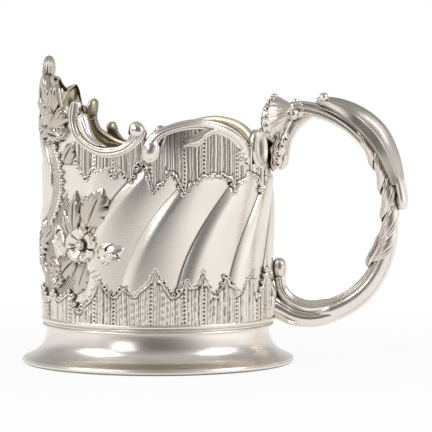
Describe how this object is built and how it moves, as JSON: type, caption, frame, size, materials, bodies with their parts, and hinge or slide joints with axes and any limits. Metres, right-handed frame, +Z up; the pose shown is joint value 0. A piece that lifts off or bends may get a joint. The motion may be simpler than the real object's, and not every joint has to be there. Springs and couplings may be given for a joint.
{
  "type": "tea glass holder",
  "caption": "Silver tea glass holder: round wall with spiral lobes, ribbed fringes, scrolled rim, crest and roses, on a flared foot, with a leafy C-shaped handle.",
  "frame": {"origin": "centre of the foot's ring, on the plane that the holder stands on", "axes": "+Z up along the well that takes the glass; +X toward the handle; the cartouche and crest are at -X"},
  "size_m": [0.1227, 0.0864, 0.0974],
  "materials": {
    "silver": "polished silver, oxidised dark in the recesses",
    "gilt": "worn gilding inside the well"
  },
  "bodies": {
    "root": {"bud_back": "silver", "bud_front": "silver", "cartouche_apron": "silver", "cartouche_frame": "silver", "crest_palmette": "silver", "crest_plaque": "silver", "crown_scroll_back": "silver", "crown_scroll_front": "silver", "end_petal_back": "silver", "end_petal_front": "silver", "foot_flare": "silver", "foot_rim_wire": "silver", "handle_shank_far": "silver", "handle_shank_near": "silver", "handle_shell": "silver", "joint_bead": "silver", "leaf_spray_back": "silver", "leaf_spray_front": "silver", "lower_fringe": "silver", "lower_pad": "silver", "lower_terminal": "silver", "lower_volute": "silver", "neck_wire": "silver", "rose_back": "silver", "rose_front": "silver", "scoop_leaf_back": "silver", "scoop_leaf_front": "silver", "scoop_scroll_back": "silver", "scoop_scroll_front": "silver", "seat_disc": "gilt", "shell_knuckle": "silver", "shield_plaque": "silver", "spur_leaf_back": "silver", "spur_leaf_front": "silver", "thumb_leaf": "silver", "twist_leaf": "silver", "upper_fringe_back": "silver", "upper_fringe_front": "silver", "wall_sleeve": "silver"}
  },
  "joints": []
}
